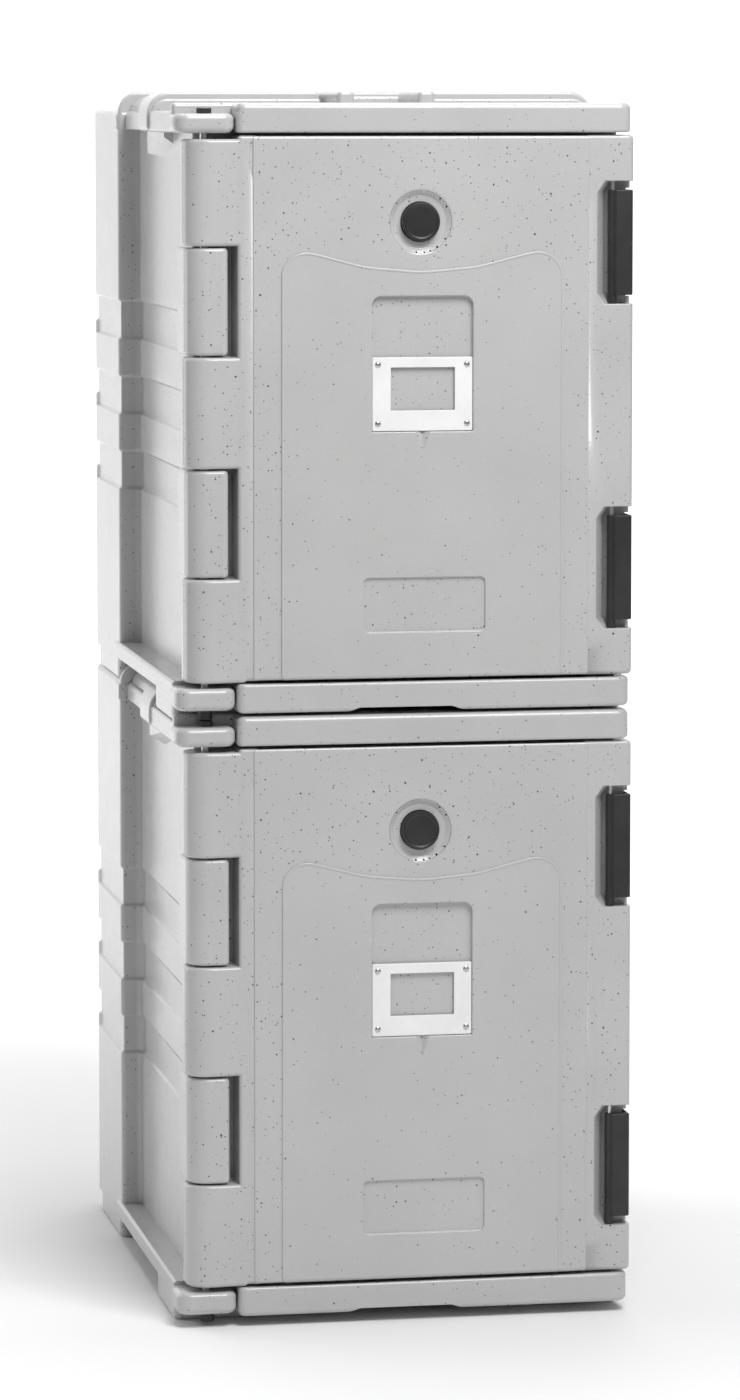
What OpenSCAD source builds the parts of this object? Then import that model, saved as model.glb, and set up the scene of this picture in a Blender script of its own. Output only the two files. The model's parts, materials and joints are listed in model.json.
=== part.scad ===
// Two insulated front-loading food carriers, stacked one on the other.
// X runs to the right, Y to the back, Z up. The doors face -Y.
// Every sub-part is drawn in one carrier's own frame: x from its middle,
// y from the front face of its door, z from the soles of its feet.

/* [Carrier] */
// Width of the top slab and the base slab
slab_w = 450; // [446:1:452]
// Depth from the door's front face to the back wall
carrier_d = 626; // [620:1:640]
// Height of the front lip of the top slab above the feet
lip_top = 603.5; // [603:0.5:603.5]
// Height from one carrier's feet to the next one's
stack_pitch = 596; // [596:0.5:600]
// Thickness of the moulded plastic skin
skin = 5; // [4:0.5:6]

/* [Cavity] */
// Inside width, for pans 325 mm wide
cavity_w = 335; // [330:1:340]
// Inside depth, for pans 530 mm long
cavity_d = 534; // [532:1:540]
// Inside height
cavity_h = 488; // [480:1:490]
// Number of moulded pan runners on each side
runners = 11; // [8:1:11]

/* [Door] */
// Width of the door
door_w = 445; // [443:1:446]
// Thickness of the door
door_t = 52; // [48:1:53]
// Radius of the hinge barrel
barrel_r = 22; // [21:0.5:22]
// Diameter of the long hinge rod
rod_d = 8; // [8:0.5:10]

/* [Fittings] */
// Diameter of the round vent cap
vent_d = 37.5; // [36:0.5:40]
// Width of the menu frame
menu_w = 99.5; // [96:0.5:99.5]
// Height of the menu frame
menu_h = 72; // [70:1:74]
// Length of a latch lever
latch_h = 103; // [96:1:104]

/* [Hidden] */
$fn = 64;
half_w = slab_w / 2;
cap_proud = 1.5;
depth_mid = (carrier_d - cap_proud) / 2;

// Heights of the body
foot_h = 22;
base_lip_z = 10.5;
base_arch_z = 14.5;
base_top = 39.5;
top_z = 574.5;
ledge_top = 595.5;
pad_top = 614.5;
ear_z = [13.5, 35.5];
lid_ear_z = [574, 593];

// Plan of the body
front_y = 56;
wall_x = 201.5;
column_x = half_w - 2;
column_y = 425;
pocket_y = 251;
pocket_in = 10;
lip_d = 42;
front_foot = [45, 165];
rear_foot = [440, 606];
foot_gap = 60;
front_pad = [183, 251];
rear_pad = [312, 430];
pad_r = 13;
corner_r = 12;
rear_r = 26;
flange_d = 34;
grip_y = [187, 303];
grip_x = 210;
grip_h = 24;

// Stepped bands round the sides and the back
band_h = 39.2;
band_z = [201.4, 279.6, 358];
band_in = 3;
back_band_shift = 13;

// Hinge
door_x0 = -217.5;
door_x1 = door_x0 + door_w;
axis_x = door_x0 + barrel_r;
axis_y = barrel_r;
door_z = [42, 572];
barrel_z = [40.5, 568.5];
knuckle_z = [[143.5, 247.8], [359.3, 463.5]];
knuckle_gap = 1.7;
knuckle_r = 20.5;
notch_x = door_x0 + 52;
notch_back_x = door_x0 + 44;
notch_back_y = 43;
ear_x0 = -227.5;
ear_x1 = door_x0 + 49.5;
ear_d = 44;
bush_r = 6.5;
bush_h = 16;
fit = 0.05;

// Front of the door
// Faces step back from the shield to the panel and to the margins
panel_x = [door_x0 + 66.5, door_x0 + 400];
panel_y = 1;
margin_y = 2.2;
vent_x = 14.4;
vent_z = 488;
dish_r = 31.5;
dish_floor_r = 24;
dish_y = 5.5;
sleeve_r = 15;
sleeve_y = 13;
stem_r = 9;
menu_x = 16.2;
menu_z = 320.5;
menu_recess_top = 416;
menu_recess_y = 5;
menu_frame_y = [1.6, 3.6];
menu_screw_y = 7.6;
scoop_r = 9;
scoop_h = 22;
label_c = [18.2, 114.5];
label_size = [121, 53.5];
label_y = 2.6;
shield_x = [door_x0 + 95, door_x0 + 372.5];
shield_z = [434, 460, 438.8];
shield_arc_r = 560;
shoulder_r = 26;

// Latches
latch_z = [467, 147.5];
notch_h = 120;
notch_left = door_x0 + 408;
notch_slope = 11;
notch_floor = 22;
notch_side = 223.4;
flange_x = 222;
catch_t = 1.6;
pivot_x = door_x0 + 425;
pivot_y = 10;
pivot_r = 4.5;
pin_r = 2;
pin_over = 8;
latch_front = [3, 9];
arm_x = [224.2, 227.2];
arm_end = front_y + 24;

// Door back
plug_w = 320;
plug_z = [72, 542];
plug_t = 8;
gasket_w = 345;
gasket_z = [57, 559];
gasket_band = 12;
gasket_t = 3.4;

// Cavity
cavity_z = 64;
runner_h = 10;
runner_in = 9;
runner_step = (cavity_h - 40) / runners;

PARTS = [
    "body_shell", "body_foam", "hinge_rod", "rod_head", "rod_foot",
    "latch_catches", "catch_screws", "door_shell", "door_foam",
    "door_gasket", "hinge_bushes", "latch_pins", "vent_sleeve",
    "vent_seal", "menu_frame", "menu_screws", "vent_cap",
    "high_latch", "low_latch"
];

// Box from one corner to the opposite one
module span(a, b) {
    translate(a) cube(b - a);
}

// Mirror image beside the original
module both_sides() {
    children();
    mirror([1, 0, 0]) children();
}

// Flat rectangle with round corners, centred
module round_rect(w, h, r) {
    square([w - 2 * r, h], center = true);
    square([w, h - 2 * r], center = true);
    for (i = [-1, 1]) {
        for (j = [-1, 1]) {
            translate([i * (w / 2 - r), j * (h / 2 - r)]) circle(r);
        }
    }
}

// Upright block with round vertical corners
module rounded_block(x, y, z, r) {
    translate([(x[0] + x[1]) / 2, (y[0] + y[1]) / 2, z[0]])
        linear_extrude(z[1] - z[0]) round_rect(x[1] - x[0], y[1] - y[0], r);
}

// Panel cut or raised on the door's front, centred at x and z, from y0 to y1
module front_panel(x, z, y0, y1) {
    translate([x, y1, z]) rotate([90, 0, 0]) linear_extrude(y1 - y0) children();
}

// Bar of the pad's section: flat top and quarter-round ends
module pad(half, y, z0) {
    for (s = [-1, 1]) {
        translate([s * (half - pad_r), y[1], pad_top - pad_r])
            rotate([90, 0, 0]) cylinder(r = pad_r, h = y[1] - y[0]);
    }
    span([-half + pad_r, y[0], z0], [half - pad_r, y[1], pad_top]);
    span([-half, y[0], z0], [half, y[1], pad_top - pad_r]);
}

// One carrier's top slab with its foot ledge, lip and stacking pads
module top_slab() {
    rounded_block([-half_w, half_w], [0, pocket_y], [top_z, ledge_top], corner_r);
    span([-half_w + pocket_in, pocket_y - 20, top_z], [half_w - pocket_in, carrier_d - 30, ledge_top]);
    rounded_block([-half_w, half_w], [0, lip_d], [ledge_top - 1, lip_top], corner_r);
    pad(half_w - corner_r, front_pad, ledge_top - 8);
    pad(half_w - pocket_in - 1, rear_pad, ledge_top - 8);
    both_sides() span([32, 105, ledge_top - 1], [49, front_pad[0] + 20, pad_top]);
    span([-foot_gap + 8, lip_d + 60, ledge_top - 1], [foot_gap - 8, carrier_d - 60, lip_top]);
    span([-190, front_pad[0], ledge_top - 1], [190, rear_pad[1], lip_top]);
}

// Front and rear feet on both sides
module feet() {
    both_sides() {
        rounded_block([foot_gap, half_w], front_foot, [0, foot_h + 1], 8);
        rounded_block([foot_gap, column_x], rear_foot, [0, foot_h + 1], 12);
    }
}

// One carrier's base slab: shelf, front lip with its arch, feet
module base_slab() {
    rounded_block([-half_w, half_w], [0, column_y + 30], [foot_h, base_top], corner_r);
    difference() {
        rounded_block([-half_w, half_w], [0, front_foot[0] - 2], [base_lip_z, foot_h + 1], corner_r);
        translate([0, lip_d + 5, 0]) rotate([90, 0, 0]) linear_extrude(lip_d + 10)
            polygon([[-57, base_lip_z - 1], [57, base_lip_z - 1], [46, base_arch_z],
                     [-46, base_arch_z]]);
    }
    feet();
}

// Walls: recessed sides and rear corner columns
module walls() {
    span([-wall_x, front_y, foot_h], [wall_x, carrier_d, ledge_top]);
    rear_columns();
    // flange behind the free edge of the door, which the catches are screwed to
    span([wall_x - 1, front_y, foot_h], [flange_x, front_y + flange_d, top_z + 1]);
    // wedges under the top slab
    both_sides() translate([wall_x - 1, 0, top_z + 1]) rotate([90, 0, 90])
        linear_extrude(grip_x - wall_x + 1)
            polygon([[grip_y[0], -6], [grip_y[1], -grip_h], [grip_y[1], 0], [grip_y[0], 0]]);
}

// Corner columns at the back, with their rear edges well rounded
module rear_columns() {
    rounded_block([-column_x, column_x], [column_y, carrier_d - 40], [foot_h, ledge_top], 5);
    rounded_block([-column_x, column_x], [column_y + 20, carrier_d], [foot_h, ledge_top], rear_r);
}

// Stepped bands, cut into both sides and the back
module bands() {
    for (z = band_z) {
        both_sides() {
            span([wall_x - band_in, front_y + flange_d, z], [wall_x + 1, column_y + 1, z + band_h]);
            span([wall_x - band_in, column_y - 1, z], [column_x + 1, column_y + band_in, z + band_h]);
            span([column_x - band_in, column_y - 1, z], [column_x + 1, carrier_d - 16, z + band_h]);
        }
        span([-column_x - 1, carrier_d - band_in, z + back_band_shift],
             [column_x + 1, carrier_d + 1, z + band_h + back_band_shift]);
    }
}

// Ears of the top and base slabs, round the ends of the hinge rod
module ears() {
    rounded_block([ear_x0, ear_x1], [0, ear_d], lid_ear_z, 11);
    rounded_block([ear_x0, ear_x1], [0, ear_d], ear_z, 11);
}

// Room round the ears: the slabs are cut back above and below them
module ear_recesses() {
    rounded_block([ear_x0 - 12, ear_x1 - 12], [-14, ear_d - 10], [lid_ear_z[1], lip_top + 20], 11);
    rounded_block([ear_x0 - 12, ear_x1], [-14, ear_d], [ear_z[1], top_z - 60], 11);
    rounded_block([ear_x0 - 12, ear_x1 - 4], [-14, ear_d - 2], [-1, ear_z[0]], 11);
}

// Knuckles that the body puts between the door's barrels
module knuckles() {
    for (k = knuckle_z) {
        translate([axis_x, axis_y, k[0]]) cylinder(r = knuckle_r, h = k[1] - k[0]);
        rounded_block([axis_x - knuckle_r, axis_x + knuckle_r], [axis_y - 3, front_y + 4], k, 1);
        rounded_block([axis_x - 6, axis_x + knuckle_r], [axis_y - knuckle_r, front_y + 4], k, 5);
    }
}

// Space for the pans, with a runner under each pan's rim
module cavity() {
    difference() {
        span([-cavity_w / 2, front_y - 1, cavity_z], [cavity_w / 2, front_y + cavity_d, cavity_z + cavity_h]);
        both_sides() {
            for (i = [0 : runners - 1]) {
                translate([cavity_w / 2 - runner_in, front_y + 25, cavity_z + 30 + i * runner_step])
                    cube([runner_in + 1, cavity_d - 24, runner_h]);
            }
        }
    }
}

// The room between the two skins of the body, filled with foam
module body_core() {
    difference() {
        span([-wall_x + skin + band_in, front_y + skin, foot_h + skin],
             [wall_x - skin - band_in, carrier_d - skin - band_in, ledge_top - skin]);
        span([-cavity_w / 2 - skin, front_y, cavity_z - skin],
             [cavity_w / 2 + skin, front_y + cavity_d + skin, cavity_z + cavity_h + skin]);
    }
}

module body_shell() {
    color([0.80, 0.80, 0.80]) difference() {
        union() {
            difference() {
                union() {
                    top_slab();
                    base_slab();
                    walls();
                }
                bands();
                ear_recesses();
            }
            ears();
            knuckles();
        }
        cavity();
        body_core();
        translate([axis_x, axis_y, -1]) cylinder(r = rod_d / 2, h = 700);
        catch_rods(flange_x - 14, 20);
    }
}

module body_foam() {
    color([0.93, 0.88, 0.70]) body_core();
}

// Hinge rod with a hexagonal head above and a round foot below
module hinge_rod() {
    color([0.70, 0.70, 0.72]) translate([axis_x, axis_y, ear_z[0] - 6])
        cylinder(d = rod_d, h = lid_ear_z[1] - ear_z[0] + 10);
}

module rod_head() {
    color([0.08, 0.08, 0.08]) translate([axis_x, axis_y, lid_ear_z[1]]) difference() {
        cylinder(d = 15, h = 5.5, $fn = 6);
        translate([0, 0, -1]) cylinder(d = rod_d, h = 5);
    }
}

module rod_foot() {
    color([0.08, 0.08, 0.08]) translate([axis_x, axis_y, ear_z[0]]) mirror([0, 0, 1]) difference() {
        cylinder(d = 14, h = 10);
        translate([0, 0, -1]) cylinder(d = rod_d, h = 7);
    }
}

// Places of the screws of the latch catches, as heights
function catch_screw_z() = [for (z = latch_z) for (dz = [-30, 30]) z + dz];

// Rod across the flange at each catch screw, from x0 over a length
module catch_rods(x0, length) {
    for (z = catch_screw_z()) {
        translate([x0, front_y + 18, z]) rotate([0, 90, 0]) cylinder(r = 1.6, h = length);
    }
}

// Catch plates on the right-hand flange, one beside each latch
module latch_catches() {
    color([0.08, 0.08, 0.08]) difference() {
        for (z = latch_z) {
            translate([flange_x, front_y + 8, z - 40]) cube([catch_t, 20, 80]);
        }
        catch_rods(flange_x - 2, 10);
    }
}

// Screws let into the flange, with their ends flush in the plates
module catch_screws() {
    color([0.70, 0.70, 0.72]) catch_rods(flange_x - 14, 14 + catch_t);
}

// Outline of the raised shield on the door: straight sides, round shoulders
// and a hollow top edge
module shield() {
    w = shield_x[1] - shield_x[0];
    difference() {
        union() {
            translate([shield_x[0], door_z[0]]) square([w, shield_z[0] - door_z[0]]);
            translate([shield_x[0] + shoulder_r, door_z[0]])
                square([w - 2 * shoulder_r, shield_z[1] - door_z[0]]);
            translate([shield_x[0] + shoulder_r, shield_z[0]]) circle(shoulder_r);
            translate([shield_x[1] - shoulder_r, shield_z[0]]) circle(shoulder_r);
        }
        translate([(shield_x[0] + shield_x[1]) / 2, shield_z[2] + shield_arc_r])
            circle(shield_arc_r, $fn = 400);
    }
}

// Notch in the free edge of the door for one latch, with a sloping inner
// wall and its corners cut at 45 degrees
module latch_notch(z) {
    h = notch_h / 2;
    intersection() {
        translate([0, 0, z - h]) linear_extrude(notch_h)
            polygon([[notch_left, -5], [notch_left, 0], [notch_left + notch_slope, notch_floor],
                     [door_x1 + 5, notch_floor], [door_x1 + 5, -5]]);
        translate([0, 50, z]) rotate([90, 0, 0]) linear_extrude(60)
            polygon([[notch_left, 11 - h], [notch_left + 8, -h], [door_x1 + 5, -h],
                     [door_x1 + 5, h], [notch_left + 8, h], [notch_left, h - 11]]);
    }
    side_h = latch_h / 2 + 1.5;
    span([notch_side, -1, z - side_h], [door_x1 + 5, door_t + 20, z + side_h]);
}

// Block of the door without its recesses: raised panel and shield, margins,
// hinge barrel, and the plug that enters the cavity
module door_block() {
    span([notch_x, margin_y, door_z[0]], [door_x1 - 8, door_t, door_z[1]]);
    rounded_block([door_x1 - 80, door_x1], [margin_y, door_t], door_z, 8);
    span([panel_x[0], panel_y, door_z[0]], [panel_x[1], door_t - 5, door_z[1]]);
    translate([0, door_t - 5, 0]) rotate([90, 0, 0]) linear_extrude(door_t - 5) shield();
    translate([axis_x, axis_y, barrel_z[0]]) cylinder(r = barrel_r, h = barrel_z[1] - barrel_z[0]);
    span([axis_x, margin_y, barrel_z[0]], [notch_x + 1, door_t, barrel_z[1]]);
    span([-plug_w / 2, door_t - 1, plug_z[0]], [plug_w / 2, door_t + plug_t, plug_z[1]]);
}

// Cuts round the body's knuckles
module knuckle_cuts() {
    for (k = knuckle_z) {
        span([door_x0 - 1, -1, k[0] - knuckle_gap], [notch_x, notch_back_y, k[1] + knuckle_gap]);
        span([door_x0 - 1, 20, k[0] - knuckle_gap], [notch_back_x, door_t + 5, k[1] + knuckle_gap]);
    }
}

// Bores for the hinge rod and its bushes
module hinge_bores() {
    translate([axis_x, axis_y, 0]) cylinder(r = rod_d / 2 + 1, h = 650);
    for (z = bush_z()) {
        translate([axis_x, axis_y, z]) cylinder(r = bush_r, h = bush_h);
    }
}

// Lower ends of the bushes, two in each barrel
function bush_z() = [
    barrel_z[0], knuckle_z[0][0] - knuckle_gap - bush_h,
    knuckle_z[0][1] + knuckle_gap, knuckle_z[1][0] - knuckle_gap - bush_h,
    knuckle_z[1][1] + knuckle_gap, barrel_z[1] - bush_h
];

// Recesses in the front: vent dish, menu recess with its finger scoop, label panel
module front_recesses() {
    slope = (dish_r - dish_floor_r) / (dish_y - 1);
    translate([vent_x, dish_y, vent_z]) rotate([90, 0, 0])
        cylinder(r1 = dish_floor_r, r2 = dish_r + 3 * slope, h = dish_y + 2);
    menu_low = menu_z - menu_h / 2;
    front_panel(menu_x, (menu_recess_top + menu_low) / 2, -1, menu_recess_y)
        round_rect(menu_w + 0.6, menu_recess_top - menu_low + 0.6, 9);
    front_panel(menu_x, menu_z, -1, menu_recess_y) square([menu_w + 0.6, menu_h + 0.6], center = true);
    translate([vent_x + 2, 0, menu_low - scoop_h]) cylinder(r1 = 0.5, r2 = scoop_r, h = scoop_h + 2);
    front_panel(label_c[0], label_c[1], -1, label_y) round_rect(label_size[0], label_size[1], 4);
}

module door_foam() {
    color([0.93, 0.88, 0.70]) door_core();
}

// The room inside the door's skin, filled with foam
module door_core() {
    difference() {
        span([panel_x[0] + 4, 8, door_z[0] + 6], [notch_left - 6, door_t - skin, door_z[1] - 6]);
        translate([vent_x, 60, vent_z]) rotate([90, 0, 0]) cylinder(r = dish_r, h = 62);
    }
}

module door_shell() {
    color([0.80, 0.80, 0.80]) difference() {
        door_block();
        front_recesses();
        knuckle_cuts();
        hinge_bores();
        door_core();
        for (z = latch_z) {
            latch_notch(z);
        }
        pin_rods(pin_r);
        translate([vent_x, 80, vent_z]) rotate([90, 0, 0]) cylinder(r = sleeve_r, h = 80);
        translate([vent_x, sleeve_y, vent_z]) rotate([90, 0, 0]) cylinder(d = vent_d + 1, h = 20);
        screw_rods(1.5);
    }
}

// Lip seal round the back of the door
module door_gasket() {
    color([0.15, 0.15, 0.16]) translate([0, door_t + gasket_t, (gasket_z[0] + gasket_z[1]) / 2])
        rotate([90, 0, 0]) linear_extrude(gasket_t) difference() {
            round_rect(gasket_w, gasket_z[1] - gasket_z[0], 14);
            round_rect(gasket_w - 2 * gasket_band, gasket_z[1] - gasket_z[0] - 2 * gasket_band, 6);
        }
}

// Plain bushes that the rod turns in
module hinge_bushes() {
    color([0.12, 0.12, 0.12]) for (z = bush_z()) {
        translate([axis_x, axis_y, z]) difference() {
            cylinder(r = bush_r, h = bush_h);
            translate([0, 0, -1]) cylinder(r = rod_d / 2 + fit, h = bush_h + 2);
        }
    }
}

// Upright rods on the axes of both latches
module pin_rods(r) {
    for (z = latch_z) {
        translate([pivot_x, pivot_y, z - notch_h / 2 - pin_over])
            cylinder(r = r, h = notch_h + 2 * pin_over);
    }
}

// Steel pins that the latch levers turn on
module latch_pins() {
    color([0.70, 0.70, 0.72]) pin_rods(pin_r);
}

// Tube that lines the vent hole from the cap's seat to the back of the door
module vent_sleeve() {
    color([0.10, 0.10, 0.10]) translate([vent_x, 0, vent_z]) rotate([-90, 0, 0]) difference() {
        union() {
            translate([0, 0, sleeve_y]) cylinder(r = sleeve_r, h = door_t + plug_t - sleeve_y);
            translate([0, 0, door_t + plug_t]) cylinder(r = sleeve_r + 5, h = 2);
        }
        translate([0, 0, -1]) cylinder(r = stem_r, h = 90);
    }
}

// Ring seal in the bottom of the cap's seat
module vent_seal() {
    color([0.25, 0.25, 0.26]) translate([vent_x, sleeve_y, vent_z]) rotate([90, 0, 0]) difference() {
        cylinder(r = 17, h = 2);
        translate([0, 0, -1]) cylinder(r = 12.5, h = 4);
    }
}

// Round cap; its hollow stem turns in the sleeve and has a side port
module vent_cap() {
    color([0.08, 0.08, 0.08]) translate([vent_x, 0, vent_z]) rotate([-90, 0, 0]) difference() {
        union() {
            translate([0, 0, -cap_proud]) cylinder(d = vent_d, h = sleeve_y - 2.4 + cap_proud);
            translate([0, 0, 8]) cylinder(r = stem_r - fit, h = 32);
        }
        translate([0, 0, 14]) cylinder(r = 5, h = 40);
        translate([-20, 0, 32]) rotate([0, 90, 0]) cylinder(r = 2.5, h = 40);
    }
}

// Places of the menu frame's four screws, as x and z
function menu_screw_places() = [
    for (i = [-1, 1]) for (j = [-1, 1])
        [menu_x + i * (menu_w / 2 - 5.6), menu_z + j * (menu_h / 2 - 7.2)]
];

// Rods on the axes of the menu frame's screws
module screw_rods(r) {
    for (p = menu_screw_places()) {
        translate([p[0], menu_screw_y, p[1]]) rotate([90, 0, 0])
            cylinder(r = r, h = menu_screw_y - menu_frame_y[0]);
    }
}

module menu_frame() {
    color([0.95, 0.95, 0.95]) difference() {
        front_panel(menu_x, menu_z, menu_frame_y[0], menu_frame_y[1])
            square([menu_w, menu_h], center = true);
        front_panel(menu_x + 0.4, menu_z + 5, -1, 5) square([63.5, 42], center = true);
        screw_rods(1.5);
    }
}

// Screws with low round heads on the frame
module menu_screws() {
    color([0.75, 0.75, 0.77]) {
        screw_rods(1.5);
        for (p = menu_screw_places()) {
            translate([p[0], menu_frame_y[0], p[1]]) rotate([90, 0, 0]) cylinder(r = 3.1, h = 1);
        }
    }
}

// Latch lever: barrel on the pin, front plate, and an arm round the door's edge
module latch(z) {
    h = latch_h / 2;
    color([0.10, 0.10, 0.10]) translate([0, 0, z]) difference() {
        union() {
            translate([pivot_x, pivot_y, -h - 5]) cylinder(r = pivot_r, h = latch_h + 5);
            span([pivot_x, latch_front[0], -h], [arm_x[1], latch_front[1], h]);
            span([arm_x[0], latch_front[0] + 1, -h], [arm_x[1], arm_end, h]);
        }
        translate([pivot_x, pivot_y, -h - 20]) cylinder(r = pin_r + fit, h = latch_h + 40);
    }
}

// Puts one carrier's sub-part into the stack: 0 is the lower carrier, 1 the upper
module place(unit) {
    translate([0, -depth_mid, unit * stack_pitch]) children();
}

module sub_part(name) {
    if (name == "body_shell") body_shell();
    if (name == "body_foam") body_foam();
    if (name == "hinge_rod") hinge_rod();
    if (name == "rod_head") rod_head();
    if (name == "rod_foot") rod_foot();
    if (name == "latch_catches") latch_catches();
    if (name == "catch_screws") catch_screws();
    if (name == "door_shell") door_shell();
    if (name == "door_foam") door_foam();
    if (name == "door_gasket") door_gasket();
    if (name == "hinge_bushes") hinge_bushes();
    if (name == "latch_pins") latch_pins();
    if (name == "vent_sleeve") vent_sleeve();
    if (name == "vent_seal") vent_seal();
    if (name == "menu_frame") menu_frame();
    if (name == "menu_screws") menu_screws();
    if (name == "vent_cap") vent_cap();
    if (name == "high_latch") latch(latch_z[0]);
    if (name == "low_latch") latch(latch_z[1]);
}

for (p = PARTS) {
    place(0) sub_part(p);
    place(1) sub_part(p);
}
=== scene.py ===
"""Two insulated food carriers, stacked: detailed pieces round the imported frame.

Shapes are drawn in one carrier's own frame, in millimetres: x from its middle,
y from the front of its door to the back, z from the soles of its feet.
"""
import json
import math

import bmesh
import bpy
from mathutils import Matrix, Vector


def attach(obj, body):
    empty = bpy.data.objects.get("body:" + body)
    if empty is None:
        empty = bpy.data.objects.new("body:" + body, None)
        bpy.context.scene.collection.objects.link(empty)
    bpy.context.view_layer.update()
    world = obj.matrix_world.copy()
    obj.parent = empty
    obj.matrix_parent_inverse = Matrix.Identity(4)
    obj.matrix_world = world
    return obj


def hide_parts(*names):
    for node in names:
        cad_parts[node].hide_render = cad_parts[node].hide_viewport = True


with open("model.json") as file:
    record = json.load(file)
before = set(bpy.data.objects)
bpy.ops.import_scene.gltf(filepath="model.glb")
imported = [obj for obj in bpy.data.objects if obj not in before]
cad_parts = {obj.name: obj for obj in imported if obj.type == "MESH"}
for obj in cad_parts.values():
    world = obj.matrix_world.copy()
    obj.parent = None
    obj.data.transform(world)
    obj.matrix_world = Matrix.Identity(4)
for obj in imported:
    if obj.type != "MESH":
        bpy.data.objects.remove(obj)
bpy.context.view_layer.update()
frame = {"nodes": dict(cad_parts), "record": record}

MID_Y = 312.25                  # middle of the depth, y = 0 of the row
PITCH = 596.0                   # how much higher the upper carrier stands
UNITS = (("lower", 0.0), ("upper", PITCH))
ROD_X, ROD_Y = -195.5, 22.0     # axis of the hinge rod
PIN_X, PIN_Y = 207.5, 10.0      # axis of the latch pins
LATCH_Z = (467.0, 147.5)        # middle of the high and the low latch
VENT_X, VENT_Z = 14.4, 488.0    # middle of the vent
scene = bpy.context.scene


# ---------------------------------------------------------------- mesh tools
def fillet(points, radii, n=5):
    """Closed counter-clockwise outline with rounded corners, as (x, y, nx, ny)."""
    out = []
    count = len(points)
    for i, point in enumerate(points):
        r = radii[i] if isinstance(radii, (list, tuple)) else radii
        p, a, b = Vector(point), Vector(points[i - 1]), Vector(points[(i + 1) % count])
        d1, d2 = (p - a).normalized(), (b - p).normalized()
        n1, n2 = Vector((d1.y, -d1.x)), Vector((d2.y, -d2.x))
        turn = math.atan2(d1.x * d2.y - d1.y * d2.x, d1.dot(d2))
        if r <= 0 or abs(turn) < 1e-6:
            mitre = (n1 + n2) / (1 + n1.dot(n2))
            out.append((p.x, p.y, mitre.x, mitre.y))
            continue
        side = 1 if turn > 0 else -1
        c = p - d1 * (r * math.tan(abs(turn) / 2)) - n1 * (r * side)
        for k in range(n + 1):
            t = turn * k / n
            nx = n1.x * math.cos(t) - n1.y * math.sin(t)
            ny = n1.x * math.sin(t) + n1.y * math.cos(t)
            out.append((c.x + nx * r * side, c.y + ny * r * side, nx, ny))
    return out


def rect(x0, x1, y0, y1):
    """Corners of a rectangle, counter-clockwise."""
    return [(x0, y0), (x1, y0), (x1, y1), (x0, y1)]


def span(a0, a1, r0=0.0, r1=0.0, n=5):
    """Levels (position, inset) of a prism from a0 to a1 with rounded ends."""
    s = 1 if a1 > a0 else -1
    out = []
    for k in range(n + 1 if r0 else 1):
        t = math.pi / 2 * k / n
        out.append((a0 + s * r0 * (1 - math.cos(t)), r0 * (1 - math.sin(t))))
    for k in range(n + 1 if r1 else 1):
        t = math.pi / 2 * (1 - k / n)
        out.append((a1 - s * r1 * (1 - math.cos(t)), r1 * (1 - math.sin(t))))
    return out


def sunk(floor, surface, r_floor, r_lip, over=4.0, n=5):
    """Levels of a cutter from a recess's floor to the surface, with a soft lip."""
    s = 1 if surface > floor else -1
    out = []
    for k in range(n + 1 if r_floor else 1):
        t = math.pi / 2 * k / n
        out.append((floor + s * r_floor * (1 - math.cos(t)), r_floor * (1 - math.sin(t))))
    for k in range(n + 1):
        t = math.pi / 2 * k / n
        out.append((surface - s * r_lip * (1 - math.sin(t)), -r_lip * (1 - math.cos(t))))
    out.append((surface + s * over, -r_lip))
    return out


def side(s, near, far):
    """Range of x between two distances from the middle, right for s = 1, left for -1."""
    return sorted((s * near, s * far))


def corners(s, radii):
    """Radii of a rectangle's corners, listed for the right side and turned for the left."""
    return radii if s > 0 else [radii[1], radii[0], radii[3], radii[2]]


def spot(u, v, a, axis):
    """Point that lies at a along the axis and at (u, v) across it."""
    return {"z": (u, v, a), "y": (u, a, v), "x": (a, u, v)}[axis]


def solid(verts, faces):
    """Object from points and faces; a shape that crosses itself may come out inside out."""
    mesh = bpy.data.meshes.new("solid")
    mesh.from_pydata(verts, [], faces)
    bm = bmesh.new()
    bm.from_mesh(mesh)
    bmesh.ops.remove_doubles(bm, verts=bm.verts, dist=1e-3)
    bmesh.ops.recalc_face_normals(bm, faces=bm.faces)
    bm.to_mesh(mesh)
    bm.free()
    obj = bpy.data.objects.new("solid", mesh)
    scene.collection.objects.link(obj)
    return obj


def skin(verts, m):
    """Solid through rings of m points each, closed by a face at both ends."""
    rings = len(verts) // m
    faces = []
    for k in range(rings - 1):
        for i in range(m):
            j = (i + 1) % m
            faces.append((k * m + i, k * m + j, (k + 1) * m + j, (k + 1) * m + i))
    faces.append(tuple(range(m)))
    faces.append(tuple(range((rings - 1) * m, rings * m)))
    return solid(verts, faces)


def loft(outline, levels, axis="z"):
    """Solid through copies of one outline, each moved inwards by its inset."""
    verts = [spot(x - nx * t, y - ny * t, a, axis)
             for a, t in levels for x, y, nx, ny in outline]
    return skin(verts, len(outline))


def block(x, y, z, rv=3.0, bottom=2.0, top=2.0, n=5):
    """Upright block with round vertical corners and soft bottom and top edges."""
    wanted = rv if isinstance(rv, (list, tuple)) else [rv] * 4
    radii = [max(r, bottom, top) for r in wanted]
    return loft(fillet(rect(*x, *y), radii, n), span(*z, bottom, top, n))


def spin(profile, cx, cz, n=72, axis="y"):
    """Solid of revolution about a line through (cx, cz), from (radius, position) pairs."""
    verts = []
    for r, a in profile:
        for i in range(n):
            t = 2 * math.pi * i / n
            verts.append(spot(cx + r * math.cos(t), cz + r * math.sin(t), a, axis))
    return skin(verts, n)


def rod_bore(radius, z0, z1):
    """Cutter round the axis of the hinge rod."""
    return spin([(radius, z0), (radius, z1)], ROD_X, ROD_Y, 32, "z")


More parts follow.
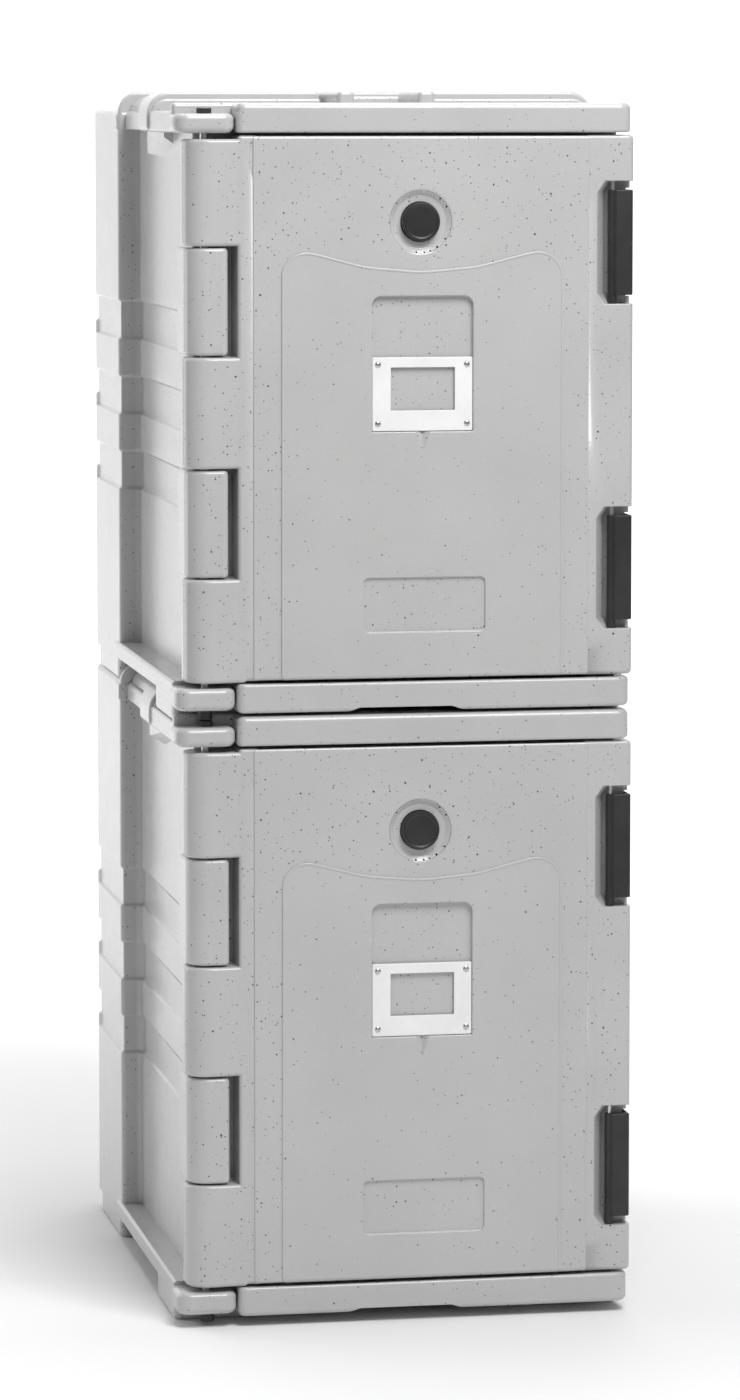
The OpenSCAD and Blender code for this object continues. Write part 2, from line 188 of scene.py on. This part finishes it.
def bake(obj):
    """Makes what an object's modifiers give its own mesh."""
    bpy.context.view_layer.update()
    dg = bpy.context.evaluated_depsgraph_get()
    mesh = bpy.data.meshes.new_from_object(obj.evaluated_get(dg))
    obj.modifiers.clear()
    obj.data = mesh
    return obj


def combine(base, others, operation):
    """Boolean of base with the others, which are used up."""
    for o in others:
        m = base.modifiers.new("b", "BOOLEAN")
        m.operation = operation
        m.solver = "MANIFOLD"
        m.object = o
    bake(base)
    for o in others:
        bpy.data.objects.remove(o)
    return base


def join(base, others):
    """Adds the others to base."""
    return combine(base, others, "UNION")


def cut(base, others):
    """Takes the others away from base."""
    return combine(base, others, "DIFFERENCE")


def mirrored(obj):
    """Mirror image of a solid on the other side of x = 0."""
    mesh = obj.data.copy()
    mesh.transform(Matrix.Diagonal((-1, 1, 1, 1)))
    mesh.flip_normals()
    twin = bpy.data.objects.new(obj.name, mesh)
    scene.collection.objects.link(twin)
    return twin


def soften(obj, angle=32.0):
    """Smooth shading that keeps real edges and leaves flat faces flat."""
    bm = bmesh.new()
    bm.from_mesh(obj.data)
    bmesh.ops.remove_doubles(bm, verts=bm.verts, dist=2e-3)
    bmesh.ops.dissolve_degenerate(bm, dist=1e-3, edges=bm.edges)
    limit = math.radians(angle)
    for f in bm.faces:
        f.smooth = True
    for e in bm.edges:
        e.smooth = e.calc_face_angle(0.0) < limit
    bm.to_mesh(obj.data)
    bm.free()
    m = obj.modifiers.new("w", "WEIGHTED_NORMAL")
    m.keep_sharp = True
    m.weight = 60
    return bake(obj)


def finish_piece(obj, name, body, material, nodes):
    """Puts one copy of a drawn piece on each carrier, in metres and in the row's frame."""
    soften(obj)
    mesh = obj.data
    bpy.data.objects.remove(obj)
    for unit, lift in UNITS:
        copy = mesh.copy()
        copy.transform(Matrix.Scale(0.001, 4) @ Matrix.Translation((0, -MID_Y, lift)))
        copy.materials.clear()
        copy.materials.append(material)
        piece = bpy.data.objects.new(f"{unit}_{name}", copy)
        scene.collection.objects.link(piece)
        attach(piece, f"{unit}_{body}")
        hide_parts(*[f"{unit}_{n}" for n in nodes])


# ---------------------------------------------------------------- materials
class Nodes:
    """Small helper that builds one node material."""

    def __init__(self, name):
        self.material = bpy.data.materials.new(name)
        self.material.use_nodes = True
        self.tree = self.material.node_tree
        self.shader = self.tree.nodes["Principled BSDF"]
        self.place = self.new("ShaderNodeTexCoord").outputs["Object"]

    def new(self, kind, **settings):
        """Adds a node with its settings."""
        node = self.tree.nodes.new(kind)
        for key, value in settings.items():
            setattr(node, key, value)
        return node

    def link(self, a, b):
        self.tree.links.new(a, b)

    def noise(self, scale, detail=2.0, rough=0.5):
        """Noise in the object's own metres; scale is in cycles to the metre."""
        n = self.new("ShaderNodeTexNoise")
        n.inputs["Scale"].default_value = scale
        n.inputs["Detail"].default_value = detail
        n.inputs["Roughness"].default_value = rough
        self.link(self.place, n.inputs["Vector"])
        return n.outputs["Fac"]

    def ramp(self, value, stops):
        """Colour ramp through (position, colour or grey) stops."""
        n = self.new("ShaderNodeValToRGB")
        e = n.color_ramp.elements
        while len(e) < len(stops):
            e.new(0.5)
        for item, (at, colour) in zip(e, stops):
            item.position = at
            item.color = (*(colour if isinstance(colour, tuple) else (colour,) * 3), 1.0)
        self.link(value, n.inputs["Fac"])
        return n.outputs["Color"]

    def calc(self, operation, a, b):
        """Math node on two sockets or numbers."""
        n = self.new("ShaderNodeMath", operation=operation)
        for i, v in enumerate((a, b)):
            if isinstance(v, float):
                n.inputs[i].default_value = v
            else:
                self.link(v, n.inputs[i])
        return n.outputs["Value"]

    def mix(self, factor, a, b, blend="MIX"):
        """Mix of two colours by a factor, each a socket or a constant."""
        n = self.new("ShaderNodeMix", data_type="RGBA", blend_type=blend)
        for key, v in ((0, factor), (6, a), (7, b)):
            if isinstance(v, (float, tuple)):
                n.inputs[key].default_value = v if isinstance(v, float) else (*v, 1.0)
            else:
                self.link(v, n.inputs[key])
        return n.outputs[2]

    def remap(self, value, low, high):
        """Takes a value from 0 to 1 to the range from low to high."""
        n = self.new("ShaderNodeMapRange")
        n.inputs["To Min"].default_value = low
        n.inputs["To Max"].default_value = high
        self.link(value, n.inputs["Value"])
        return n.outputs["Result"]

    def bump(self, height, strength, distance):
        """Relief on the shader's normal."""
        n = self.new("ShaderNodeBump")
        n.inputs["Strength"].default_value = strength
        n.inputs["Distance"].default_value = distance
        self.link(height, n.inputs["Height"])
        self.link(n.outputs["Normal"], self.shader.inputs["Normal"])

    def specks(self, cell, size, share):
        """Mask of round specks, one in each of a share of the cells, and a random tone."""
        v = self.new("ShaderNodeTexVoronoi")
        v.inputs["Scale"].default_value = 1.0 / cell
        self.link(self.place, v.inputs["Vector"])
        split = self.new("ShaderNodeSeparateColor")
        self.link(v.outputs["Color"], split.inputs["Color"])
        spread = self.calc("POWER", split.outputs["Red"], 1.2)
        radius = self.calc("MULTIPLY", spread, size / cell)
        chosen = self.calc("LESS_THAN", split.outputs["Green"], share)
        edge = self.calc("SUBTRACT", radius, v.outputs["Distance"])
        soft = self.new("ShaderNodeMapRange")
        soft.inputs["From Min"].default_value = 0.0
        soft.inputs["From Max"].default_value = 0.15 * size / cell
        self.link(edge, soft.inputs["Value"])
        return self.calc("MULTIPLY", soft.outputs["Result"], chosen), split.outputs["Blue"]


SPECKS = (                      # cell and largest radius in metres, share of cells, darkness
    (0.0028, 0.0007, 0.30, 0.35),
    (0.0040, 0.00095, 0.60, 1.00),
    (0.0080, 0.00125, 0.60, 1.00),
)
SPECK_COLOUR = (0.055, 0.055, 0.058)


def moulded(name, colour):
    """Rotomoulded polyethylene with fine dark granite specks."""
    m = Nodes(name)
    cloud = m.noise(9.0, 3.0, 0.5)
    grain = m.noise(350.0, 2.0, 0.6)
    darker, lighter = (tuple(min(1, c * k) for c in colour) for k in (0.965, 1.03))
    base = m.ramp(cloud, [(0.3, darker), (0.7, lighter)])
    base = m.mix(0.06, base, m.ramp(grain, [(0.35, 0.35), (0.65, 0.75)]), "SOFT_LIGHT")
    for cell, size, share, dark in SPECKS:
        mask, tone = m.specks(cell, size, share)
        weight = m.calc("MULTIPLY", mask, m.remap(tone, dark * 0.45, dark))
        base = m.mix(weight, base, SPECK_COLOUR)
    m.link(base, m.shader.inputs["Base Color"])
    m.link(m.remap(m.noise(40.0, 2.0, 0.5), 0.17, 0.27), m.shader.inputs["Roughness"])
    m.bump(m.noise(120.0, 2.0, 0.5), 0.02, 0.0003)
    m.shader.inputs["Specular IOR Level"].default_value = 0.55
    return m.material


def plain(name, low, high, rough, bump=(900.0, 0.12, 0.0004), metallic=0.0, scale=25.0):
    """Moulded or metal surface with a slight change of tone, gloss and grain."""
    m = Nodes(name)
    tone = m.ramp(m.noise(scale, 4.0, 0.6), [(0.3, low), (0.7, high)])
    m.link(tone, m.shader.inputs["Base Color"])
    m.link(m.remap(m.noise(scale * 6, 3.0, 0.6), *rough), m.shader.inputs["Roughness"])
    m.bump(m.noise(bump[0], 3.0, 0.6), bump[1], bump[2])
    m.shader.inputs["Metallic"].default_value = metallic
    return m.material


def drawn_steel(name):
    """Bright steel with fine lines from drawing along z."""
    m = Nodes(name)
    stretch = m.new("ShaderNodeMapping")
    stretch.inputs["Scale"].default_value = (900.0, 900.0, 12.0)
    m.link(m.place, stretch.inputs["Vector"])
    lines = m.new("ShaderNodeTexNoise")
    lines.inputs["Scale"].default_value = 1.0
    m.link(stretch.outputs["Vector"], lines.inputs["Vector"])
    m.link(m.ramp(lines.outputs["Fac"], [(0.3, 0.50), (0.7, 0.68)]), m.shader.inputs["Base Color"])
    m.link(m.remap(lines.outputs["Fac"], 0.22, 0.40), m.shader.inputs["Roughness"])
    m.bump(lines.outputs["Fac"], 0.08, 0.0003)
    m.shader.inputs["Metallic"].default_value = 1.0
    return m.material


SHELL = moulded("granite_shell", (0.50, 0.50, 0.498))
BLACK = plain("black_nylon", 0.016, 0.028, (0.38, 0.52), (1400.0, 0.25, 0.0004))
CAP = plain("black_cap", 0.014, 0.024, (0.30, 0.46), (1800.0, 0.35, 0.0004))
WHITE = plain("white_frame", 0.82, 0.90, (0.25, 0.36), (500.0, 0.04, 0.0003))
SEAL = plain("seal_rubber", 0.020, 0.034, (0.60, 0.78), (1200.0, 0.30, 0.0004))
FOAM = plain("insulating_foam", (0.72, 0.62, 0.36), (0.82, 0.73, 0.46), (0.80, 0.95),
             (420.0, 0.5, 0.001), scale=60.0)
STEEL = drawn_steel("drawn_steel")


# ---------------------------------------------------------------- body
HALF = 225.0                    # half width of the lid and the base
WALL = 201.5                    # half width over the side walls
COLUMN = 223.0                  # half width over the rear columns
BACK = 626.0                    # outside of the back
LIP_LEFT = -166.8               # left end of the front lips, beside the hinge tabs
BASE = (22, 39.5)               # bottom and top of the base slab
LID = (574.5, 595.5)            # bottom and top of the lid slab
LIP_TOP = 603.5                 # top of the lid's raised front edge
PAD_TOP = 614.5                 # top of the stacking pads
KNUCKLES = ((143.5, 247.8), (359.3, 463.5))
BANDS = (201.4, 279.6, 358.0)   # lower edges of the stepped bands
BAND_H = 39.2                   # height of a band
BAND_IN = 3.0                   # how deep a band is set in
BAND_RISE = 13.0                # how much higher the bands run across the back


def band_depth(z):
    """Depth of the side bands at a height, with soft edges."""
    for low in BANDS:
        for edge, s in ((low, 1), (low + BAND_H, -1)):
            if abs(z - edge) < 2.0:
                t = (z - edge) * s / 4.0 + 0.5
                return BAND_IN * t * t * (3 - 2 * t)
        if low < z < low + BAND_H:
            return BAND_IN
    return 0.0


def walls():
    """Walls with the corner columns and the stepped bands round them."""
    points = [(-WALL, 56), (222, 56), (222, 90), (WALL, 90), (WALL, 425), (COLUMN, 425),
              (COLUMN, BACK), (-COLUMN, BACK), (-COLUMN, 425), (-WALL, 425)]
    outline = fillet(points, [2, 2, 3, 3, 6, 5, 26, 26, 5, 6], 8)
    heights = {BASE[0], 120.0, 470.0, 560.0}
    for rise in (0.0, BAND_RISE):
        for low in BANDS:
            for edge in (low, low + BAND_H):
                heights.update(edge + rise + d for d in (-2.0, -1.2, -0.6, 0.0, 0.6, 1.2, 2.0))
    rows = [(z, 0.0, True) for z in sorted(heights)]
    for k in range(7):
        t = math.pi / 2 * (1 - k / 6)
        rows.append((LID[1] - 6 * (1 - math.cos(t)), 6 * (1 - math.sin(t)), False))
    verts = []
    for z, inset, banded in rows:
        for x, y, nx, ny in outline:
            t = inset
            if banded and y > 92:
                t = band_depth(z - (BAND_RISE if y > 603 else 0.0))
            verts.append((x - nx * t, y - ny * t, z))
    return skin(verts, len(outline))


def pad_profile(half, top, r):
    """Cross-section of a stacking pad, x and z, with quarter-round ends."""
    return fillet(rect(-half, half, 580, top), [0, 0, r, r], 10)


def lid():
    """Top slab with its lip, ledges, side pockets and stacking pads."""
    parts = [
        block((LIP_LEFT, HALF), (0, 60), LID, [7, 12, 3, 3], 3, 3),
        block((LIP_LEFT, HALF), (0, 43), (575.5, LIP_TOP), [9, 12, 7, 5], 3, 6.5, 6),
        block((-HALF, -160), (34, 46), (575.5, LIP_TOP), 2, 2, 4),
        block((-215, 215), (240, 560), (575, 594.0), 6, 2, 5),
        block((-224.2, 224.2), (427, 459), (574.5, 592), 3, 2.5, 2.5),
        loft(pad_profile(211, 609.5, 20), span(246, 431, 3, 3), "y"),
        loft(pad_profile(222.5, PAD_TOP, 22), span(426, 439, 3.5, 5), "y"),
    ]
    for s in (-1, 1):
        pad = fillet(rect(*side(s, 52, 227.2), 575, PAD_TOP), corners(s, [0, 5, 24, 6]), 10)
        step = fillet(rect(*side(s, 52, 223.2), 580, 607), corners(s, [0, 0, 16, 3]), 8)
        parts.append(loft(pad, span(187, 252, 3.5, 4), "y"))
        parts.append(loft(step, span(182, 240, 2.5, 2), "y"))
        parts.append(block(side(s, 32, 49), (104, 215), (590, PAD_TOP), 5, 2, 4))
    slab = block((-HALF, HALF), (36, 251), LID, [4, 4, 5, 5], 3, 3)
    return join(slab, parts)


def base():
    """Base slab with its lip, arch and feet."""
    slab = block((-HALF, HALF), (36, 456), BASE, [4, 4, 6, 6], 3, 3.6)
    lip = block((LIP_LEFT, HALF), (0, 44), (10.5, 37), [8, 12, 5, 5], 5, 3)
    arch = [(-60, 4), (60, 4), (57, 10.5), (46, 14.6), (-46, 14.6), (-57, 10.5)]
    cut(lip, [loft(fillet(arch, [0, 0, 0, 2, 2, 0], 4), span(-4, 48), "y")])
    parts = [lip, block((LIP_LEFT, HALF), (0, 60), BASE, [8, 12, 4, 4], 3, 3.6)]
    webs = (
        [(166, 16.5), (169.5, 20.2), (176, 22), (176, 24), (164, 24), (164, 10)],
        [(441, 24), (428, 24), (428, 22), (434, 20.2), (437.5, 16.5), (441, 10)],
    )
    for s in (-1, 1):
        rear = corners(s, [8, 8, 24, 8])
        parts.append(block(side(s, 61, 224.4), (45, 165), (0, 30), 9, 3.5, 1))
        parts.append(block(side(s, 61, 222.4), (440, 606), (0, 30), rear, 3.5, 1))
        parts += [loft(fillet(web, 0), span(*side(s, 64, 221)), "x") for web in webs]
    return join(slab, parts)


def wedge():
    """Facetted gusset under the top slab, on the left side."""
    x0, x1 = -WALL + 1, -210.0
    v = [(x0, 180, 577), (x0, 306, 577), (x0, 303, 549), (x0, 246, 548), (x0, 182, 562),
         (x1, 187, 577), (x1, 303, 577), (x1, 300, 552), (x1, 187, 569)]
    f = [(0, 1, 2, 3, 4), (5, 8, 7, 6), (0, 5, 6, 1), (1, 6, 7, 2), (2, 7, 3), (3, 7, 8),
         (3, 8, 4), (4, 8, 5, 0)]
    return solid(v, f)


def cavity():
    """Room for the pans, with a row of soft-edged runners on both sides."""
    half, bottom, top = 167.5, 64, 552
    inner, thick, count = 158.5, 10, 11
    step = 448.0 / count
    right = []
    for i in range(count):
        low = 94 + i * step
        right += [(half, low), (inner, low), (inner, low + thick), (half, low + thick)]
    points = [(-half, bottom), (half, bottom)] + right + [(half, top), (-half, top)]
    points += [(-x, z) for x, z in reversed(right)]
    radii = ([14, 14] + [2.5] * len(right)) * 2
    comb = loft(fillet(points, radii, 3), span(82, 590), "y")
    mouth = loft(fillet(rect(-half, half, bottom, top), 14, 5), sunk(86, 56, 0, 3.0), "y")
    return join(mouth, [comb])


def ear(z0, z1):
    """Tab that carries an end of the hinge rod, round at both front corners."""
    return block((-227.5, -168), (0.02, 46), (z0, z1), [14, 12, 3, 3], 7, 6, 7)


def body():
    """Body skin: walls, base and lid, with the hinge's tabs and knuckles, and hollow."""
    shell = join(walls(), [base(), lid()])
    cut(shell, [
        block((-242, -168), (-20, 44), (35.5, 50), [3, 9, 9, 3], 0, 0),
        block((-242, -172), (-20, 42), (-6, 13.5), [3, 9, 9, 3], 0, 0),
    ])
    parts = [ear(574.2, 593), ear(13.5, 35.5)]
    for z0, z1 in KNUCKLES:
        outline = fillet(rect(-216, -175, 1.5, 60), [20.4, 6, 0, 0], 9)
        parts.append(loft(outline, span(z0, z1, 4, 4)))
    tab = wedge()
    parts += [tab, mirrored(tab)]
    join(shell, parts)
    return cut(shell, [cavity(), rod_bore(4.0, -3, 620)])


# ---------------------------------------------------------------- door
def barrel(z0, z1):
    """Hinge barrel of the door, which runs into its front."""
    points = [(-217.5, 0.0), (-190, 0.0), (-166.5, 2.2), (-158, 2.2), (-158, 50), (-217.5, 52)]
    return loft(fillet(points, [21.9, 60, 20, 0, 0, 21.9], 10), span(z0, z1, 4, 4))


def bead(path, r, depth, lift):
    """Thin rounded ridge along an open path of (x, z, nx, nz) on the door's front."""
    turns = [math.pi * k / 8 for k in range(9)]
    section = [(r * math.cos(t), depth - lift * math.sin(t)) for t in turns]
    section += [(-r, depth + 1.5), (r, depth + 1.5)]
    verts = [(x + nx * d, y, z + nz * d) for x, z, nx, nz in path for d, y in section]
    return skin(verts, len(section))


def door_shell():
    """Door skin before it is cut: slab, raised panel and shield, plug and barrels."""
    left, right = -122.5, 155.0     # sides of the shield
    slab = loft(fillet(rect(-165.5, 227.5, 2.2, 52), [4, 6, 4, 2], 6), span(42, 572, 4, 4))
    # the ends differ a little, so that no two end faces lie in one plane
    # known fault: the panel's ends are inset by more than its corner radius, so it crosses
    # itself and joins inside out, with a hidden face of the slab left behind it
    panel = fillet(rect(-151, 182.3, 1.0, 20), [1.1, 1.1, 0, 0], 4)
    lower = fillet(rect(left, right, 0.0, 18), [0.95, 0.95, 0, 0], 4)
    panel, lower = loft(panel, span(42.03, 571.97, 4, 4)), loft(lower, span(42.06, 436, 4))
    points = [(left, 420), (right, 420), (right, 463.5), (118, 455.5), (70, 443.5),
              (16, 438.6), (-40, 443.5), (-86, 455.5), (left, 463.5)]
    outline = fillet(points, [0, 0, 24, 60, 120, 160, 120, 60, 24], 8)
    upper = loft(outline, span(0.0, 16, 0.9, 0, 4), "y")
    path = [(right, 46.0, 1.0, 0.0)] + outline[1:-1] + [(left, 46.0, -1.0, 0.0)]
    ridge = bead(path, 1.3, 0.3, 0.9)
    back = loft(fillet(rect(-160, 160, 72, 542), 12, 6), span(50, 60, 0, 4), "y")
    strip = block((-173.4, -160), (43.5, 52), (60, 555), 1.5, 1, 1)
    barrels = [barrel(40.5, 141.8), barrel(249.5, 357.6), barrel(465.2, 568.5)]
    return join(slab, [panel, lower, upper, ridge, back, strip] + barrels)


def notch(z):
    """Cutter for the notch round a latch, from rows of (depth, x of its left side, growth)."""
    h = 60.0
    verts = []
    for y, x, grow in ((22.0, 203.5, -1.6), (21.5, 202.2, -0.6), (20.2, 201.2, 0.0),
                       (4.2, 191.6, 0.0), (2.8, 190.6, 0.5), (2.2, 189.2, 1.5), (-4.0, 189.2, 1.5)):
        row = [(x, z - h + 11 - grow * 0.4), (x + 8, z - h - grow), (240, z - h - grow),
               (240, z + h + grow), (x + 8, z + h + grow), (x, z + h - 11 + grow * 0.4)]
        verts += [(u, y, v) for u, v in row]
    return skin(verts, 6)


def door():
    """Door skin with its notches, vent, recesses, finger scoop and bore for the rod."""
    shell = door_shell()
    cuts = []
    for z in LATCH_Z:
        cuts.append(notch(z))
        cuts.append(block((223.4, 240), (-5, 80), (z - 53, z + 53), 0, 0, 0))
    dish = [(23.0, 5.5), (25.2, 5.3), (26.6, 4.8), (31.0, 1.9), (32.2, 1.2), (34.0, 0.95),
            (34.0, -4)]
    seat = [(15.0, 80), (15.0, 13), (19.3, 13), (19.3, 6.2), (19.9, 5.6), (20.2, 5.4),
            (20.2, 3)]
    cuts += [spin(profile, VENT_X, VENT_Z, 96) for profile in (dish, seat)]
    menu = fillet(rect(-33.9, 66.3, 284, 416), [1, 1, 9, 9], 7)
    cuts.append(loft(menu, sunk(5.3, 0.0, 0.9, 1.3), "y"))
    label = fillet(rect(-42.3, 78.7, 87.8, 141.3), 5, 6)
    cuts.append(loft(label, sunk(2.5, 0.0, 0.8, 0.9), "y"))
    scoop = [(7.0, -1, 286), (26.0, -1, 286), (16.5, -1, 258.5), (16.5, 5.6, 286)]
    cuts.append(solid(scoop, [(0, 1, 2), (0, 3, 1), (1, 3, 2), (2, 3, 0)]))
    cuts.append(rod_bore(5.0, 30, 600))
    return cut(shell, cuts)


# ---------------------------------------------------------------- fittings
def latch(z):
    """Lever: pivot barrel, front plate and the arm round the door's edge."""
    low, high = z - 51.5, z + 51.5
    points = [(207.5, 5.0), (210.2, 3.0), (227.0, 3.0), (227.0, 80), (224.3, 80),
              (224.3, 11.5), (213, 11.5), (207.5, 13.5)]
    plate = fillet(points, [1.2, 1.0, 3.2, 1.3, 1.2, 1.5, 2, 2], 5)
    lever = loft(plate, span(low, high, 1.2, 1.2, 4))
    pivot = [(3.4, low - 8.5), (4.2, low - 8.2), (4.5, low - 7.4), (4.5, high - 0.8),
             (4.2, high - 0.2), (3.6, high)]
    join(lever, [spin(pivot, PIN_X + 0.1, PIN_Y, 32, "z")])
    return cut(lever, [spin([(2.1, z - 80), (2.1, z + 80)], PIN_X, PIN_Y, 24, "z")])


def vent_cap():
    """Round cap with a soft rim and a slightly sunk face, and its hollow stem."""
    face = [(0.01, -0.7), (14.6, -0.7), (15.0, -0.7), (15.6, -1.0), (16.4, -1.5)]
    rim = [(17.4, -1.5), (18.2, -1.2), (18.65, -0.5), (18.75, 0.5), (18.75, 10.6)]
    stem = [(8.95, 10.6), (8.95, 40), (5.0, 40), (5.0, 14), (0.01, 14)]
    return spin(face + rim + stem, VENT_X, VENT_Z, 96)


def menu_frame():
    """White frame with its window."""
    plate = fillet(rect(-33.55, 65.95, 284.5, 356.5), 1.2, 4)
    window = fillet(rect(-15.2, 48.4, 304.5, 346.5), 0.8, 3)
    frame_plate = loft(plate, span(3.6, 1.6, 0, 0.6, 4), "y")
    return cut(frame_plate, [loft(window, sunk(6, 1.6, 0, 0.5), "y")])


def menu_screws():
    """Four pan-head screws of the menu frame, each with a cross recess."""
    profile = [(0.01, 0.55), (1.6, 0.62), (2.5, 0.95), (3.0, 1.45), (3.1, 1.8), (1.5, 1.85),
               (1.5, 7.5), (0.01, 7.5)]
    reach, half = 1.7, 0.32         # of one bar of the cross
    heads = []
    for x in (-27.95, 60.35):
        for z in (291.7, 349.3):
            head = spin(profile, x, z, 32)
            for a in (math.radians(25), math.radians(115)):
                dx, dz = math.cos(a), math.sin(a)
                bar = [(x + dx * s * reach - dz * t * half, z + dz * s * reach + dx * t * half)
                       for s, t in ((-1, -1), (1, -1), (1, 1), (-1, 1))]
                cut(head, [loft(fillet(bar, 0), span(1.3, -1.0), "y")])
            heads.append(head)
    return join(heads[0], heads[1:])


def rod_head():
    """Hexagonal head on the rod's upper end."""
    turns = [math.radians(60 * i) for i in range(6)]
    ring = [(ROD_X + 7.5 * math.cos(t), ROD_Y + 7.5 * math.sin(t)) for t in turns]
    cap = loft(fillet(ring, 1.0, 3), span(593, 598.5, 0.3, 1.0, 3))
    return cut(cap, [rod_bore(4.0, 590, 597)])


def rod_foot():
    """Round foot on the rod's lower end."""
    foot = [(0.01, 3.5), (6.0, 3.5), (6.7, 3.8), (7.0, 4.5), (7.0, 13.5), (4.0, 13.5),
            (4.0, 7.5), (0.01, 7.5)]
    return spin(foot, ROD_X, ROD_Y, 40, "z")


finish_piece(body(), "body_moulding", "body", SHELL, ["body_shell"])
finish_piece(door(), "door_moulding", "door", SHELL, ["door_shell"])
finish_piece(latch(LATCH_Z[0]), "high_lever", "high_latch", BLACK, ["high_latch"])
finish_piece(latch(LATCH_Z[1]), "low_lever", "low_latch", BLACK, ["low_latch"])
finish_piece(vent_cap(), "vent_knob", "vent_cap", CAP, ["vent_cap"])
finish_piece(menu_frame(), "card_frame", "door", WHITE, ["menu_frame"])
finish_piece(menu_screws(), "card_screws", "door", STEEL, ["menu_screws"])
finish_piece(rod_head(), "rod_cap", "body", BLACK, ["rod_head"])
finish_piece(rod_foot(), "rod_end", "body", BLACK, ["rod_foot"])

BY_SLOT = {"shell": SHELL, "foam": FOAM, "steel": STEEL, "black": BLACK, "seal": SEAL,
           "frame": WHITE}
for entry in frame["record"]["subparts"]:
    node = frame["nodes"][entry["node"]]
    for i in range(len(node.material_slots)):
        node.material_slots[i].material = BY_SLOT[entry["material_slot"]]


# ---------------------------------------------------------------- stage
def area_light(name, size, size_y, energy, location, target):
    """Soft rectangular light that points at its target."""
    data = bpy.data.lights.new(name, "AREA")
    data.shape = "RECTANGLE"
    data.size, data.size_y, data.energy = size, size_y, energy
    obj = bpy.data.objects.new(name, data)
    obj.location = location
    obj.rotation_euler = (Vector(target) - Vector(location)).to_track_quat("-Z", "Y").to_euler()
    scene.collection.objects.link(obj)


# floor that sweeps up into the backdrop, in metres: its reach, its bend and its top
reach, bend, top = 60.0, 6.0, 16.0
sweep = [(-reach, 0.0), (bend, 0.0)]
for k in range(1, 25):
    t = math.pi / 2 * k / 24
    sweep.append((bend + bend * math.sin(t), bend - bend * math.cos(t)))
sweep.append((2 * bend, top))
floor_mesh = bpy.data.meshes.new("floor")
floor_mesh.from_pydata([(x, y, z) for y, z in sweep for x in (-reach, reach)], [],
                       [(2 * i, 2 * i + 1, 2 * i + 3, 2 * i + 2) for i in range(len(sweep) - 1)])
floor_mesh.shade_smooth()
floor = bpy.data.objects.new("floor", floor_mesh)
scene.collection.objects.link(floor)
pale = bpy.data.materials.new("pale_floor")
pale.use_nodes = True
shader = pale.node_tree.nodes["Principled BSDF"]
shader.inputs["Base Color"].default_value = (0.9, 0.9, 0.9, 1)
shader.inputs["Roughness"].default_value = 0.9
floor_mesh.materials.append(pale)

area_light("key_above", 1.3, 1.5, 76.0, (0.45, -1.9, 3.0), (0.0, -0.3, 0.9))
area_light("overhead", 1.6, 1.6, 45.0, (0.0, 0.5, 3.6), (0.0, 0.2, 1.2))
area_light("left_behind", 1.6, 2.6, 27.0, (-2.6, 1.7, 1.3), (-0.2, 0.1, 0.6))
area_light("backdrop_wash", 9.0, 2.5, 900.0, (0.0, 3.2, 6.0), (0.0, 10.0, 2.5))

# the world lights the object softly, and shows white where the camera sees it
world = bpy.data.worlds.new("studio")
scene.world = world
world.use_nodes = True
tree = world.node_tree
light = tree.nodes["Background"]
light.inputs["Color"].default_value = (1, 1, 1, 1)
light.inputs["Strength"].default_value = 0.25
shown = tree.nodes.new("ShaderNodeBackground")
shown.inputs["Color"].default_value = (1, 1, 1, 1)
shown.inputs["Strength"].default_value = 1.0
choose = tree.nodes.new("ShaderNodeMixShader")
path = tree.nodes.new("ShaderNodeLightPath")
tree.links.new(path.outputs["Is Camera Ray"], choose.inputs["Fac"])
tree.links.new(light.outputs["Background"], choose.inputs[1])
tree.links.new(shown.outputs["Background"], choose.inputs[2])
tree.links.new(choose.outputs["Shader"], tree.nodes["World Output"].inputs["Surface"])

# the photograph's viewing angle
camera = bpy.data.cameras.new("camera")
camera.lens = 139.5
camera.sensor_width = 36.0
camera.shift_y = -0.1
camera.clip_end = 200.0
viewer = bpy.data.objects.new("camera", camera)
yaw, pitch = math.radians(10.61), math.radians(4.89)
look = Vector((math.sin(yaw) * math.cos(pitch), math.cos(yaw) * math.cos(pitch),
               -math.sin(pitch)))
viewer.location = (-1.0065, -5.49225, 1.206)
viewer.rotation_euler = look.to_track_quat("-Z", "Y").to_euler()
scene.collection.objects.link(viewer)
scene.camera = viewer
scene.view_settings.view_transform = "Standard"
